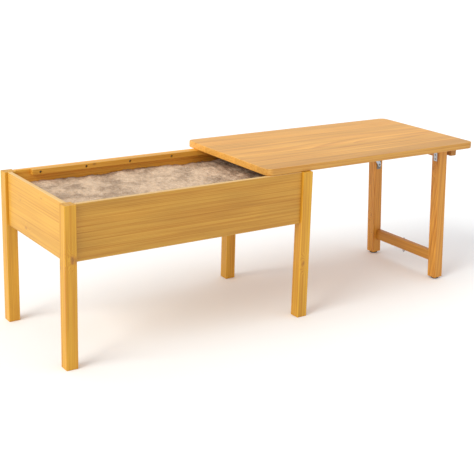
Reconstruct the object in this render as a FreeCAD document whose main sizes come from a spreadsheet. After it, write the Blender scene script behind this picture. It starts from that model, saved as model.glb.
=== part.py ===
"""Sand and water table: a four-legged wooden sand box with a lift-on lid.

The lid lies drawn out to the right: its left end rests on the rim of the box and its
right end stands on a folding leg frame.  Lengths are in millimetres, angles in degrees.
X runs along the box to the right, Y to the back, Z up.  The origin is on the floor,
under the middle of the whole table.
"""
import FreeCAD, Part
import math
import os
import re
import Sketcher
from FreeCAD import Placement, Rotation, Vector

SIZES = {
    # sand box
    "box_length": 930, "box_width": 502, "box_height": 530,
    "box_leg_side": 40, "wood_ease": 2,
    "panel_height": 183, "panel_thickness": 16, "panel_setback": 10,
    "rail_height": 20, "rail_thickness": 20, "rail_end_gap": 70,
    "rail_screw_inset": 29,
    "ledger_side": 20, "floor_bearing": 6, "floor_thickness": 12, "floor_gap": 4, "floor_screw_inset": 10,
    "cloth_thickness": 1, "sand_below_rim": 40,
    # dowel joints
    "dowel_diameter": 8, "dowel_length": 36, "dowel_inset": 32, "dowel_stagger": 20,
    "dowel_fit": 0.05, "blind_hole_gap": 1,
    # lid
    "lid_end_overhang": 21, "lid_side_overhang": 11, "lid_thickness": 23.5,
    "lid_corner_radius": 26, "lid_edge_round": 3,
    "lid_reach": 747, "lid_setback": 13,
    "batten_width": 28, "batten_height": 33, "short_batten_height": 21,
    "batten_wall_gap": 2, "batten_end_gap": 5,
    # folding leg frame
    "hinge_inset": 143, "leg_splay": 3, "frame_inset": 40, "frame_width": 408,
    "table_leg_side": 40, "leg_top_gap": 0.5,
    "top_rail_height": 33, "top_rail_thickness": 22,
    "stretcher_height": 41, "stretcher_thickness": 20, "stretcher_recess": 17,
    "stretcher_lift": 63,
    "frame_dowel_inset": 11, "frame_dowel_length": 30,
    "glide_diameter": 30, "glide_height": 6, "glide_round": 1.5,
    "glide_nail_diameter": 4, "glide_nail_length": 18,
    # butt hinges between the lid and the legs
    "knuckle_radius": 3.5, "hinge_pin_radius": 1.5, "pin_clearance": 0.05,
    "leaf_thickness": 2, "hinge_width": 18, "lid_leaf_length": 34, "leg_leaf_length": 46,
    "knuckle_gap": 0.3, "leaf_screw_inset": 8, "leaf_screw_pitch": 16,
    # folding stay on the rear leg
    "stay_leg_in": 20, "stay_leg_drop": 139, "stay_lid_back": 62, "stay_lid_drop": 14,
    "stay_link_width": 16, "stay_link_thickness": 2, "stay_gap": 1.6,
    "stay_plate_width": 20, "stay_plate_height": 52, "stay_plate_round": 3,
    "stay_plate_below": 19, "stay_plate_thickness": 2, "stay_screw_inset": 6,
    "rivet_radius": 2.5, "rivet_head_radius": 4.5, "rivet_head_height": 1.2,
    "stay_foot_width": 26, "stay_foot_depth": 20, "stay_foot_thickness": 2,
    # turn button that holds the folded frame
    "button_width": 14, "button_length": 64, "button_thickness": 2, "button_clearance": 0.3,
    "button_shift": 18, "button_drop": 9,
    # screws
    "screw_radius": 2, "screw_head_radius": 4, "screw_head_height": 2.4,
    "screw_fit": 0.05, "counterbore_fit": 0.5, "counterbore_depth": 5,
    "rail_screw_length": 27, "ledger_screw_length": 32, "floor_screw_length": 24,
    "floor_bore_depth": 3, "batten_screw_inset": 30,
    "batten_screw_length": 36, "batten_bore_depth": 12,
    "small_screw_radius": 1.6, "small_head_radius": 3.1, "small_head_height": 1.1,
    "small_screw_length": 15,
}
RAIL_SCREWS = 5
LEDGER_SCREWS = 4
BATTEN_SCREWS = 3
FLOOR_BOARDS = 8
TINY = 0.01                 # a length or a volume that counts as nothing

doc = FreeCAD.newDocument("SandWaterTable")
sheet = doc.addObject("Spreadsheet::Sheet", "Sizes")
for row, (alias, number) in enumerate(SIZES.items(), 1):
    sheet.set(f"A{row}", alias)
    sheet.set(f"B{row}", str(number))
    sheet.setAlias(f"B{row}", alias)
doc.recompute()

nodes = []


def bound(formula):
    """Turn a formula in the sheet's words into a FreeCAD expression."""
    def cell(word):
        return "Sizes." + word[0] if word[0] in SIZES else word[0]
    return re.sub(r"[a-z]\w*", cell, str(formula))


def value(formula):
    """The number that a formula stands for."""
    return float(sheet.evalExpression(bound(formula)))


# ---------------------------------------------------------------- places, as formulas
MIDDLE_X = "((lid_reach + box_length + 2 * lid_end_overhang) / 2)"
MIDDLE_Y = "((lid_setback + box_width + 2 * lid_side_overhang) / 2)"
LEFT = f"(0 - {MIDDLE_X})"                       # outer face of the left legs
FRONT = f"(0 - {MIDDLE_Y})"                      # outer face of the front legs
WALL_IN = "(panel_setback + panel_thickness)"    # leg face to the inside of a panel
PANEL_LOW = "(box_height - panel_height)"
FLOOR_LOW = f"({PANEL_LOW} + ledger_side)"
CLOTH_LOW = f"({FLOOR_LOW} + floor_thickness)"
SAND_LOW = f"({CLOTH_LOW} + cloth_thickness)"
SAND_DEPTH = f"(box_height - sand_below_rim - {SAND_LOW})"
BAY_LENGTH = f"(box_length - 2 * {WALL_IN})"     # inside of the box
BAY_WIDTH = f"(box_width - 2 * {WALL_IN})"
RAIL_LENGTH = f"({BAY_LENGTH} - 2 * rail_end_gap)"
LEDGER_RUN = "(box_length - 2 * box_leg_side)"

LID_LENGTH = "(box_length + 2 * lid_end_overhang)"
LID_WIDTH = "(box_width + 2 * lid_side_overhang)"
LID_LEFT = f"({LEFT} + lid_reach)"
LID_FRONT = f"({FRONT} + lid_setback)"
BATTEN_INSET = f"(lid_end_overhang + {WALL_IN} + batten_wall_gap)"
BATTEN_START = f"(lid_side_overhang + {WALL_IN} + batten_end_gap)"
LONG_BATTEN = f"({BAY_WIDTH} - 2 * batten_end_gap)"
SHORT_BATTEN = (f"(box_width - {WALL_IN} - rail_thickness - batten_end_gap"
                f" - lid_setback - {BATTEN_START})")

HINGE_X = f"({LID_LEFT} + {LID_LENGTH} - hinge_inset)"
HINGE_Z = "(box_height - knuckle_radius)"
FRAME_FRONT = f"({LID_FRONT} + frame_inset)"
LEG_IN = "knuckle_radius"                        # hinge axis to the leg's near face
LEG_TOP = ("((knuckle_radius - leg_top_gap - (knuckle_radius + table_leg_side)"
           " * sin(leg_splay)) / cos(leg_splay))")
FOOT_DROP = (f"(({HINGE_Z} + ({LEG_IN} + table_leg_side / 2 - glide_diameter / 2)"
             " * sin(leg_splay)) / cos(leg_splay))")
LEG_LOW = f"(glide_height - {FOOT_DROP})"
BETWEEN_LEGS = "(frame_width - 2 * table_leg_side)"
TOP_RAIL_LOW = f"({LEG_TOP} - top_rail_height - leg_top_gap)"
TOP_RAIL_IN = f"({LEG_IN} + (table_leg_side - top_rail_thickness) / 2)"
STRETCHER_LOW = f"(stretcher_lift - {FOOT_DROP})"
STRETCHER_IN = f"({LEG_IN} + stretcher_recess)"
REAR_LEG_FACE = f"({FRAME_FRONT} + frame_width - table_leg_side)"

# Stay pins, measured from the hinge axis: the leg pin turned to its open place, the leg
# pin with the frame folded flat, and the lid pin.
STAY_LEG_IN = f"({LEG_IN} + stay_leg_in)"
STAY_LEG_OPEN_X = f"({STAY_LEG_IN} * cos(leg_splay) + stay_leg_drop * sin(leg_splay))"
STAY_LEG_OPEN_Z = f"({STAY_LEG_IN} * sin(leg_splay) - stay_leg_drop * cos(leg_splay))"
STAY_LID_Z = "(knuckle_radius - stay_lid_drop)"
STAY_OPEN_SPAN = (f"sqrt(({STAY_LEG_OPEN_X} + stay_lid_back)^2"
                  f" + ({STAY_LEG_OPEN_Z} - {STAY_LID_Z})^2)")
STAY_FOLDED_SPAN = (f"sqrt((stay_leg_drop - stay_lid_back)^2"
                    f" + ({STAY_LEG_IN} + {STAY_LID_Z})^2)")
LOWER_LINK = f"(({STAY_OPEN_SPAN} - {STAY_FOLDED_SPAN}) / 2)"
UPPER_LINK = f"(({STAY_OPEN_SPAN} + {STAY_FOLDED_SPAN}) / 2)"
STAY_STEP = "(stay_link_thickness + stay_gap)"
LOWER_LINK_Y = f"({REAR_LEG_FACE} - stay_plate_thickness - {STAY_STEP})"
UPPER_LINK_Y = f"({LOWER_LINK_Y} - {STAY_STEP})"
STAY_FOOT_Y = f"({UPPER_LINK_Y} - stay_gap - stay_foot_thickness)"


# ------------------------------------------------------------------------ sketching
def new_body(label):
    """An empty PartDesign body that will become one node."""
    body = doc.addObject("PartDesign::Body", "Body")
    body.Label = label
    nodes.append(body)
    return body


def draw_on(body, role, lift="0"):
    """A sketch on one of the body's own origin planes, lifted along its normal."""
    plane = next(item for item in body.Origin.OriginFeatures if item.Role == role)
    drawing = body.newObject("Sketcher::SketchObject", "Sketch")
    drawing.AttachmentSupport = [(plane, "")]
    drawing.MapMode = "FlatFace"
    drawing.setExpression(".AttachmentOffset.Base.z", bound(lift))
    return drawing


def dimension(drawing, kind, ends, formula):
    """Add a driving dimension that follows a formula."""
    index = drawing.addConstraint(Sketcher.Constraint(kind, *ends, value(formula)))
    drawing.setExpression(f"Constraints[{index}]", bound(formula))


def outline(drawing, corners):
    """Draw a closed outline of straight sides; every corner follows two formulas."""
    points = [Vector(value(across), value(up), 0) for across, up in corners]
    first = drawing.GeometryCount
    count = len(points)
    for side in range(count):
        drawing.addGeometry(Part.LineSegment(points[side], points[(side + 1) % count]))
    for side in range(count):
        after = first + (side + 1) % count
        drawing.addConstraint(Sketcher.Constraint("Coincident", first + side, 2, after, 1))
    for side, (across, up) in enumerate(corners):
        dimension(drawing, "DistanceX", (-1, 1, first + side, 1), across)
        dimension(drawing, "DistanceY", (-1, 1, first + side, 1), up)


def rectangle(drawing, wide, high, across="0", up="0"):
    """Draw a rectangle from its lower left corner."""
    right, top = f"{across} + {wide}", f"{up} + {high}"
    outline(drawing, [(across, up), (right, up), (right, top), (across, top)])


def circle(drawing, across, up, diameter):
    """Draw a circle about a point."""
    centre = Vector(value(across), value(up), 0)
    ring = Part.Circle(centre, Vector(0, 0, 1), value(diameter) / 2)
    index = drawing.addGeometry(ring)
    dimension(drawing, "Diameter", (index,), diameter)
    dimension(drawing, "DistanceX", (-1, 1, index, 3), across)
    dimension(drawing, "DistanceY", (-1, 1, index, 3), up)


PLANES = {"x": ("YZ_Plane", 1), "y": ("XZ_Plane", -1), "z": ("XY_Plane", 1)}


def pad(body, drawing, axis, length):
    """Grow a sketch towards +axis."""
    grown = body.newObject("PartDesign::Pad", "Pad")
    grown.Profile = drawing
    grown.setExpression("Length", bound(length))
    grown.Reversed = PLANES[axis][1] < 0
    drawing.Visibility = False
    doc.recompute()
    return grown


def sink(body, axis, start, depth, toward, draw):
    """Cut a pocket from `start` along the axis; `toward` is +1 or -1."""
    role, facing = PLANES[axis]
    before = body.Shape.Volume
    drawing = draw_on(body, role, start if facing > 0 else f"0 - {start}")
    draw(drawing)
    cut = body.newObject("PartDesign::Pocket", "Pocket")
    cut.Profile = drawing
    cut.setExpression("Length", bound(depth))
    cut.Reversed = toward != -facing
    doc.recompute()
    if not body.Shape.Volume < before - TINY:
        raise RuntimeError(f"a pocket in {body.Label} removes nothing")


def bore(body, axis, start, depth, toward, diameter, centres):
    """Drill round holes whose centres lie in the plane across the axis."""
    def holes(drawing):
        for across, up in centres:
            circle(drawing, across, up, diameter)
    sink(body, axis, start, depth, toward, holes)


def ease(body, radius, chosen=None):
    """Round edges of the body's last feature; all of them unless a test is given."""
    tip = body.Tip
    names = [f"Edge{number}" for number, edge in enumerate(tip.Shape.Edges, 1)
             if chosen is None or chosen(edge)]
    rounding = body.newObject("PartDesign::Fillet", "Ease")
    rounding.Base = (tip, names)
    rounding.setExpression("Radius", bound(radius))
    doc.recompute()


def bar(label, axis, size):
    """A straight wooden member with its lowest corner at its own origin."""
    body = new_body(label)
    drawing = draw_on(body, PLANES[axis][0])
    along = "xyz".index(axis)
    across = [size[other] for other in range(3) if other != along]
    rectangle(drawing, *across)
    pad(body, drawing, axis, size[along])
    ease(body, "wood_ease")
    return body


# -------------------------------------------------------------------------- placing
def place(piece, x, y, z):
    """Put a piece's own origin where three formulas say."""
    for letter, formula in zip("xyz", (x, y, z)):
        piece.setExpression(f".Placement.Base.{letter}", bound(formula))
    return piece


def splay(piece, along, y, up):
    """Put a piece on the leg frame, measured from the hinge axis along the splayed legs."""
    piece.Placement = Placement(Vector(), Rotation(Vector(0, 1, 0), -value("leg_splay")))
    x = f"{HINGE_X} + ({along}) * cos(leg_splay) - ({up}) * sin(leg_splay)"
    z = f"{HINGE_Z} + ({along}) * sin(leg_splay) + ({up}) * cos(leg_splay)"
    for letter, formula in zip("xyz", (x, y, z)):
        piece.setExpression(f".Placement.Base.{letter}", bound(formula))
    return piece


def plain_box(size, corner):
    """A Part box primitive inside a boolean."""
    block = doc.addObject("Part::Box", "Block")
    for name, formula in zip(("Length", "Width", "Height"), size):
        block.setExpression(name, bound(formula))
    return place(block, *corner)


def plain_rod(axis, radius, length, centre):
    """A Part cylinder primitive that runs towards +axis inside a boolean."""
    rod = doc.addObject("Part::Cylinder", "Rod")
    rod.setExpression("Radius", bound(radius))
    rod.setExpression("Height", bound(length))
    for letter, formula in zip("xyz", centre):
        rod.setExpression(f".Placement.Base.{letter}", bound(formula))
    turned = {"x": Rotation(Vector(0, 1, 0), 90), "y": Rotation(Vector(1, 0, 0), -90),
              "z": Rotation()}
    rod.Placement = Placement(Vector(*(value(formula) for formula in centre)), turned[axis])
    return rod


def joined(label, pieces):
    """Fuse primitives into one solid."""
    whole = doc.addObject("Part::MultiFuse", "Joined")
    whole.Shapes = pieces
    whole.Refine = True
    if label:
        whole.Label = label
    return whole


def carved(base, tools, label=None):
    """Cut several primitives out of a solid."""
    left = doc.addObject("Part::Cut", "Carved")
    left.Base = base
    left.Tool = joined(None, tools) if len(tools) > 1 else tools[0]
    if label:
        left.Label = label
    return left


def group(label, pieces):
    """Identical small pieces that share one node."""
    bundle = doc.addObject("Part::Compound", "Group")
    bundle.Links = pieces
    bundle.Label = label
    nodes.append(bundle)
    return bundle


# ------------------------------------------------------------------------ fasteners
RECESS_SPAN = 1.2           # the driver's cross, as shares of the head's radius
RECESS_WIDTH = 0.28
RECESS_FLOOR = 1 / 3        # metal left under the cross, as a share of the head's height


def screw_shape(radius, head_radius, head_height, length):
    """A round-head wood screw that points along -Z from the underside of its head."""
    radius, head_radius = value(radius), value(head_radius)
    head_height, length = value(head_height), value(length)
    crown = Vector(0, 0, head_height)
    rim = Vector(head_radius, 0, 0)
    shoulder = Vector(head_radius * math.cos(math.pi / 4), 0,
                      head_height * math.sin(math.pi / 4))
    corners = [rim, Vector(radius, 0, 0), Vector(radius, 0, 2 * radius - length),
               Vector(0, 0, -length), crown]
    sides = [Part.LineSegment(a, b).toShape() for a, b in zip(corners, corners[1:])]
    sides.append(Part.Arc(crown, shoulder, rim).toShape())
    screw = Part.Face(Part.Wire(Part.__sortEdges__(sides))).revolve(
        Vector(), Vector(0, 0, 1), 360)
    slot_long, slot_wide = head_radius * RECESS_SPAN, head_radius * RECESS_WIDTH
    for long_x, long_y in ((slot_long, slot_wide), (slot_wide, slot_long)):
        corner = Vector(-long_x / 2, -long_y / 2, head_height * RECESS_FLOOR)
        screw = screw.cut(Part.makeBox(long_x, long_y, head_height, corner))
    return screw


def screws(label, shape, heads, direction):
    """One node of identical screws; `heads` are the formulas of the head seats."""
    turn = Rotation(Vector(0, 0, -1), Vector(*direction))
    copies = []
    for seat in heads:
        copy = shape.copy()
        copy.Placement = Placement(Vector(*(value(part) for part in seat)), turn)
        copies.append(copy)
    row = doc.addObject("Part::Feature", "Screws")
    row.Shape = Part.makeCompound(copies)
    row.Label = label
    row.Placement = Placement()
    nodes.append(row)
    return row


def on_frame(along, y, up):
    """The row-frame formulas of a point on the splayed leg frame."""
    return (f"{HINGE_X} + ({along}) * cos(leg_splay) - ({up}) * sin(leg_splay)", y,
            f"{HINGE_Z} + ({along}) * sin(leg_splay) + ({up}) * cos(leg_splay)")


def spread(first, last, count):
    """Evenly spaced formulas from one end to the other."""
    return [f"({first} + ({last} - {first}) * {number} / {count - 1})"
            for number in range(count)]


WOOD_SCREW = ("screw_radius", "screw_head_radius", "screw_head_height")
SMALL_SCREW = ("small_screw_radius", "small_head_radius", "small_head_height",
               "small_screw_length")
SCREW_HOLE = "(2 * screw_radius + 2 * screw_fit)"
SMALL_HOLE = "(2 * small_screw_radius + 2 * screw_fit)"
HEAD_HOLE = "(2 * screw_head_radius + 2 * counterbore_fit)"
DOWEL_HOLE = "(dowel_diameter + 2 * dowel_fit)"
DOWEL_DEPTH = "(dowel_length / 2 + blind_hole_gap)"


# -------------------------------------------------------------------------- sand box
PANEL_MIDDLE = "(panel_setback + panel_thickness / 2)"
LONG_DOWEL_Z = [f"({PANEL_LOW} + dowel_inset)", "(box_height - dowel_inset)"]
END_DOWEL_Z = [f"({PANEL_LOW} + dowel_inset + dowel_stagger)",
               "(box_height - dowel_inset - dowel_stagger)"]


def box_leg(label, right, rear):
    """One corner post, drilled for the dowels of the two panels that it holds."""
    side = "box_leg_side"
    leg = bar(label, "z", (side, side, "box_height"))
    middle_x = f"{side} - {PANEL_MIDDLE}" if right else PANEL_MIDDLE
    middle_y = f"{side} - {PANEL_MIDDLE}" if rear else PANEL_MIDDLE
    bore(leg, "x", "0" if right else side, DOWEL_DEPTH, 1 if right else -1, DOWEL_HOLE,
         [(middle_y, height) for height in LONG_DOWEL_Z])
    bore(leg, "y", "0" if rear else side, DOWEL_DEPTH, 1 if rear else -1, DOWEL_HOLE,
         [(middle_x, height) for height in END_DOWEL_Z])
    place(leg, f"{LEFT} + box_length - {side}" if right else LEFT,
          f"{FRONT} + box_width - {side}" if rear else FRONT, "0")


def end_holes(panel, axis, length, middle, heights):
    """Dowel holes in both ends of a member that runs along an axis."""
    centres = [(middle, f"{height}") for height in heights]
    bore(panel, axis, "0", DOWEL_DEPTH, 1, DOWEL_HOLE, centres)
    bore(panel, axis, length, DOWEL_DEPTH, -1, DOWEL_HOLE, centres)


def long_panel(label, rear):
    """A front or back board between two legs."""
    panel = bar(label, "x", (LEDGER_RUN, "panel_thickness", "panel_height"))
    end_holes(panel, "x", LEDGER_RUN, "panel_thickness / 2",
              [f"{height} - {PANEL_LOW}" for height in LONG_DOWEL_Z])
    inside = "0" if rear else "panel_thickness"
    towards = 1 if rear else -1
    reach = "(ledger_screw_length - ledger_side + blind_hole_gap)"
    bore(panel, "y", inside, reach, towards, SCREW_HOLE,
         [(along, "ledger_side / 2") for along in LONG_LEDGER_SCREWS])
    if rear:
        reach = "(rail_screw_length + counterbore_depth - rail_thickness + blind_hole_gap)"
        bore(panel, "y", inside, reach, towards, SCREW_HOLE,
             [(f"{along} - box_leg_side", f"panel_height - rail_height / 2")
              for along in RAIL_SCREW_X])
    y = f"{FRONT} + box_width - {WALL_IN}" if rear else f"{FRONT} + panel_setback"
    place(panel, f"{LEFT} + box_leg_side", y, PANEL_LOW)


def end_panel(label, right):
    """A left or right board between two legs."""
    run = "(box_width - 2 * box_leg_side)"
    panel = bar(label, "y", ("panel_thickness", run, "panel_height"))
    end_holes(panel, "y", run, "panel_thickness / 2",
              [f"{height} - {PANEL_LOW}" for height in END_DOWEL_Z])
    reach = "(ledger_screw_length - ledger_side + blind_hole_gap)"
    bore(panel, "x", "0" if right else "panel_thickness", reach, 1 if right else -1,
         SCREW_HOLE, [(along, "ledger_side / 2") for along in END_LEDGER_SCREWS])
    x = f"{LEFT} + box_length - {WALL_IN}" if right else f"{LEFT} + panel_setback"
    place(panel, x, f"{FRONT} + box_leg_side", PANEL_LOW)


RAIL_X = f"({WALL_IN} + rail_end_gap)"
RAIL_SCREW_X = spread(f"({RAIL_X} + rail_screw_inset)",
                      f"({RAIL_X} + {RAIL_LENGTH} - rail_screw_inset)", RAIL_SCREWS)
LONG_LEDGER_SCREWS = spread("(2 * ledger_side)", f"({LEDGER_RUN} - 2 * ledger_side)",
                            LEDGER_SCREWS)
END_LEDGER_RUN = "(box_width - 2 * box_leg_side)"
END_LEDGER_SCREWS = spread("(2 * ledger_side)", f"({END_LEDGER_RUN} - 2 * ledger_side)",
                           LEDGER_SCREWS - 1)


def rail():
    """The batten along the inside of the back panel, level with the rim."""
    batten = bar("rail_back", "x", (RAIL_LENGTH, "rail_thickness", "rail_height"))
    centres = [(f"{along} - {RAIL_X}", "rail_height / 2") for along in RAIL_SCREW_X]
    bore(batten, "y", "0", "counterbore_depth", 1, HEAD_HOLE, centres)
    bore(batten, "y", "0", "rail_thickness + wood_ease", 1, SCREW_HOLE, centres)
    y = f"{FRONT} + box_width - {WALL_IN} - rail_thickness"
    place(batten, f"{LEFT} + {RAIL_X}", y, "box_height - rail_height")
    heads = [(f"{LEFT} + {along}", f"{y} + counterbore_depth",
              "box_height - rail_height / 2") for along in RAIL_SCREW_X]
    screws("rail_screws", screw_shape(*WOOD_SCREW, "rail_screw_length"), heads, (0, 1, 0))


BOARD_WIDTH = f"(({LEDGER_RUN} - {FLOOR_BOARDS - 1} * floor_gap) / {FLOOR_BOARDS})"
BOARD_MIDDLES = [f"({number} * ({BOARD_WIDTH} + floor_gap) + {BOARD_WIDTH} / 2)"
                 for number in range(FLOOR_BOARDS)]


def long_ledger(label, rear):
    """A strip that carries the floor boards along a long panel."""
    strip = bar(label, "x", (LEDGER_RUN, "ledger_side", "ledger_side"))
    seat, towards = ("0", 1) if rear else ("ledger_side", -1)
    bore(strip, "y", seat, "ledger_side + wood_ease", towards, SCREW_HOLE,
         [(along, "ledger_side / 2") for along in LONG_LEDGER_SCREWS])
    reach = "(floor_screw_length + floor_bore_depth - floor_thickness + blind_hole_gap)"
    across = "ledger_side - floor_screw_inset" if rear else "floor_screw_inset"
    bore(strip, "z", "ledger_side", reach, -1, SCREW_HOLE,
         [(middle, across) for middle in BOARD_MIDDLES])
    y = f"{FRONT} + box_width - {WALL_IN} - ledger_side" if rear else f"{FRONT} + {WALL_IN}"
    place(strip, f"{LEFT} + box_leg_side", y, PANEL_LOW)
    face = y if rear else f"{y} + ledger_side"
    return [(f"{LEFT} + box_leg_side + {along}", face, f"{PANEL_LOW} + ledger_side / 2")
            for along in LONG_LEDGER_SCREWS]


def end_ledger(label, right):
    """A strip along an end panel that carries the edge of the nearest floor board."""
    wide = f"(box_leg_side - {WALL_IN} + floor_bearing)"
    start = f"max({WALL_IN} + ledger_side; box_leg_side)"
    strip = bar(label, "y", (wide, f"(box_width - 2 * {start})", "ledger_side"))
    seat, towards = ("0", 1) if right else (wide, -1)
    bore(strip, "x", seat, f"{wide} + wood_ease", towards, SCREW_HOLE,
         [(f"{along} + box_leg_side - {start}", "ledger_side / 2")
          for along in END_LEDGER_SCREWS])
    x = f"{LEFT} + box_length - {WALL_IN} - {wide}" if right else f"{LEFT} + {WALL_IN}"
    place(strip, x, f"{FRONT} + {start}", PANEL_LOW)
    face = x if right else f"{x} + {wide}"
    return [(face, f"{FRONT} + box_leg_side + {along}", f"{PANEL_LOW} + ledger_side / 2")
            for along in END_LEDGER_SCREWS]


def floor():
    """Boards with drain gaps, screwed down on the long ledgers."""
    ends = ("floor_screw_inset", f"{BAY_WIDTH} - floor_screw_inset")
    heads = []
    for number, middle in enumerate(BOARD_MIDDLES, 1):
        board = bar(f"floor_board_{number}", "z",
                    (BOARD_WIDTH, BAY_WIDTH, "floor_thickness"))
        centres = [(f"{BOARD_WIDTH} / 2", end) for end in ends]
        bore(board, "z", "floor_thickness", "floor_bore_depth", -1, HEAD_HOLE, centres)
        bore(board, "z", "0", "floor_thickness", 1, SCREW_HOLE, centres)
        x = f"{LEFT} + box_leg_side + {middle}"
        place(board, f"{x} - {BOARD_WIDTH} / 2", f"{FRONT} + {WALL_IN}", FLOOR_LOW)
        heads += [(x, f"{FRONT} + {WALL_IN} + {end}", f"{CLOTH_LOW} - floor_bore_depth")
                  for end in ends]
    screws("floor_screws", screw_shape(*WOOD_SCREW, "floor_screw_length"), heads,
           (0, 0, -1))


def bay_layer(label, thickness, low):
    """A slab that fills the inside of the box around the four legs."""
    post = f"(box_leg_side - {WALL_IN})"
    far_x, far_y = BAY_LENGTH, BAY_WIDTH
    corners = [(post, "0"), (f"{far_x} - {post}", "0"), (f"{far_x} - {post}", post),
               (far_x, post), (far_x, f"{far_y} - {post}"),
               (f"{far_x} - {post}", f"{far_y} - {post}"), (f"{far_x} - {post}", far_y),
               (post, far_y), (post, f"{far_y} - {post}"), ("0", f"{far_y} - {post}"),
               ("0", post), (post, post)]
    body = new_body(label)
    drawing = draw_on(body, "XY_Plane")
    outline(drawing, corners)
    pad(body, drawing, "z", thickness)
    place(body, f"{LEFT} + {WALL_IN}", f"{FRONT} + {WALL_IN}", low)


def dowel(axis, start):
    """One wooden dowel that lies along an axis from its start point."""
    return plain_rod(axis, "dowel_diameter / 2", "dowel_length", start)


def panel_dowels():
    """All dowels between the panels and the legs of the box."""
    half = "dowel_length / 2"
    pegs = []
    for y in (f"{FRONT} + {PANEL_MIDDLE}", f"{FRONT} + box_width - {PANEL_MIDDLE}"):
        for x in ("box_leg_side", "box_length - box_leg_side"):
            pegs += [dowel("x", (f"{LEFT} + {x} - {half}", y, height))
                     for height in LONG_DOWEL_Z]
    for x in (f"{LEFT} + {PANEL_MIDDLE}", f"{LEFT} + box_length - {PANEL_MIDDLE}"):
        for y in ("box_leg_side", "box_width - box_leg_side"):
            pegs += [dowel("y", (x, f"{FRONT} + {y} - {half}", height))
                     for height in END_DOWEL_Z]
    group("panel_dowels", pegs)


def sand_box():
    """The box on its four legs, with its floor, cloth and sand."""
    for name, right, rear in (("front_left", False, False), ("front_right", True, False),
                              ("back_left", False, True), ("back_right", True, True)):
        box_leg(f"box_leg_{name}", right, rear)
    long_panel("panel_front", False)
    long_panel("panel_back", True)
    end_panel("panel_left", False)
    end_panel("panel_right", True)
    panel_dowels()
    rail()
    heads = {(0, -1, 0): long_ledger("ledger_front", False),
             (0, 1, 0): long_ledger("ledger_back", True),
             (-1, 0, 0): end_ledger("ledger_left", False),
             (1, 0, 0): end_ledger("ledger_right", True)}
    names = ("front", "back", "left", "right")
    shape = screw_shape(*WOOD_SCREW, "ledger_screw_length")
    for name, (direction, seats) in zip(names, heads.items()):
        screws(f"ledger_screws_{name}", shape, seats, direction)
    floor()
    bay_layer("floor_cloth", "cloth_thickness", CLOTH_LOW)
    bay_layer("sand", SAND_DEPTH, SAND_LOW)


# ------------------------------------------------------------------------------- lid
NO_BORE = "0"
BATTENS = {"lid_batten_right": (f"({LID_LENGTH} - {BATTEN_INSET} - batten_width)",
                                LONG_BATTEN, "batten_height", "batten_bore_depth"),
           "lid_batten_left": (BATTEN_INSET, SHORT_BATTEN, "short_batten_height",
                               NO_BORE)}
STAY_FOOT_SCREWS = [(f"{LID_LENGTH} - hinge_inset - stay_lid_back + {side}",
                     f"{STAY_FOOT_Y} - {LID_FRONT} - stay_foot_depth / 2")
                    for side in ("(stay_foot_width / 2 - stay_screw_inset)",
                                 "(stay_screw_inset - stay_foot_width / 2)")]
HINGE_SIDES = {"front": f"({FRAME_FRONT} + (table_leg_side - hinge_width) / 2)",
               "back": f"({REAR_LEG_FACE} + (table_leg_side - hinge_width) / 2)"}
LEAF_SCREWS = ("leaf_screw_inset", "leaf_screw_inset + leaf_screw_pitch")


def batten_screw_places(length):
    """Distances of a batten's screws from its front end."""
    return spread("batten_screw_inset", f"({length} - batten_screw_inset)", BATTEN_SCREWS)


def lid_panel():
    """The tabletop: one glued panel with round corners, drilled from below."""
    top = new_body("lid_panel")
    drawing = draw_on(top, "XY_Plane")
    rectangle(drawing, LID_LENGTH, LID_WIDTH)
    pad(top, drawing, "z", "lid_thickness")
    ease(top, "lid_corner_radius",
         lambda edge: edge.BoundBox.ZLength > TINY)
    ease(top, "lid_edge_round",
         lambda edge: edge.BoundBox.ZLength < TINY)
    for x, length, height, deep in BATTENS.values():
        reach = f"(batten_screw_length + {deep} - {height} + blind_hole_gap)"
        centres = [(f"{x} + batten_width / 2", f"{BATTEN_START} + {along}")
                   for along in batten_screw_places(length)]
        bore(top, "z", "0", reach, 1, SCREW_HOLE, centres)
    leaf_holes = [(f"{LID_LENGTH} - hinge_inset - lid_leaf_length + {inset}",
                   f"{side} + hinge_width / 2 - {LID_FRONT}")
                  for side in HINGE_SIDES.values() for inset in LEAF_SCREWS]
    bore(top, "z", "0", "small_screw_length", 1, SMALL_HOLE, leaf_holes + STAY_FOOT_SCREWS)
    place(top, LID_LEFT, LID_FRONT, "box_height")


def lid_battens():
    """Two battens under the lid; they drop inside the box when the lid is on."""
    heads = []
    for label, (x, length, height, deep) in BATTENS.items():
        batten = bar(label, "y", ("batten_width", length, height))
        centres = [("batten_width / 2", along) for along in batten_screw_places(length)]
        if deep != NO_BORE:
            bore(batten, "z", "0", deep, 1, HEAD_HOLE, centres)
        bore(batten, "z", "0", height, 1, SCREW_HOLE, centres)
        place(batten, f"{LID_LEFT} + {x}", f"{LID_FRONT} + {BATTEN_START}",
              f"box_height - {height}")
        heads += [(f"{LID_LEFT} + {x} + batten_width / 2",
                   f"{LID_FRONT} + {BATTEN_START} + {along}",
                   f"box_height - {height} + {deep}")
                  for along in batten_screw_places(length)]
    screws("batten_screws", screw_shape(*WOOD_SCREW, "batten_screw_length"), heads,
           (0, 0, 1))


# ---------------------------------------------------------------------------- hinges
NOTCH = "(2 * knuckle_radius + 2 * knuckle_gap)"
NOTCH_LOW = "(0 - knuckle_radius - knuckle_gap)"
THIRD = "(hinge_width / 3)"


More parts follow.
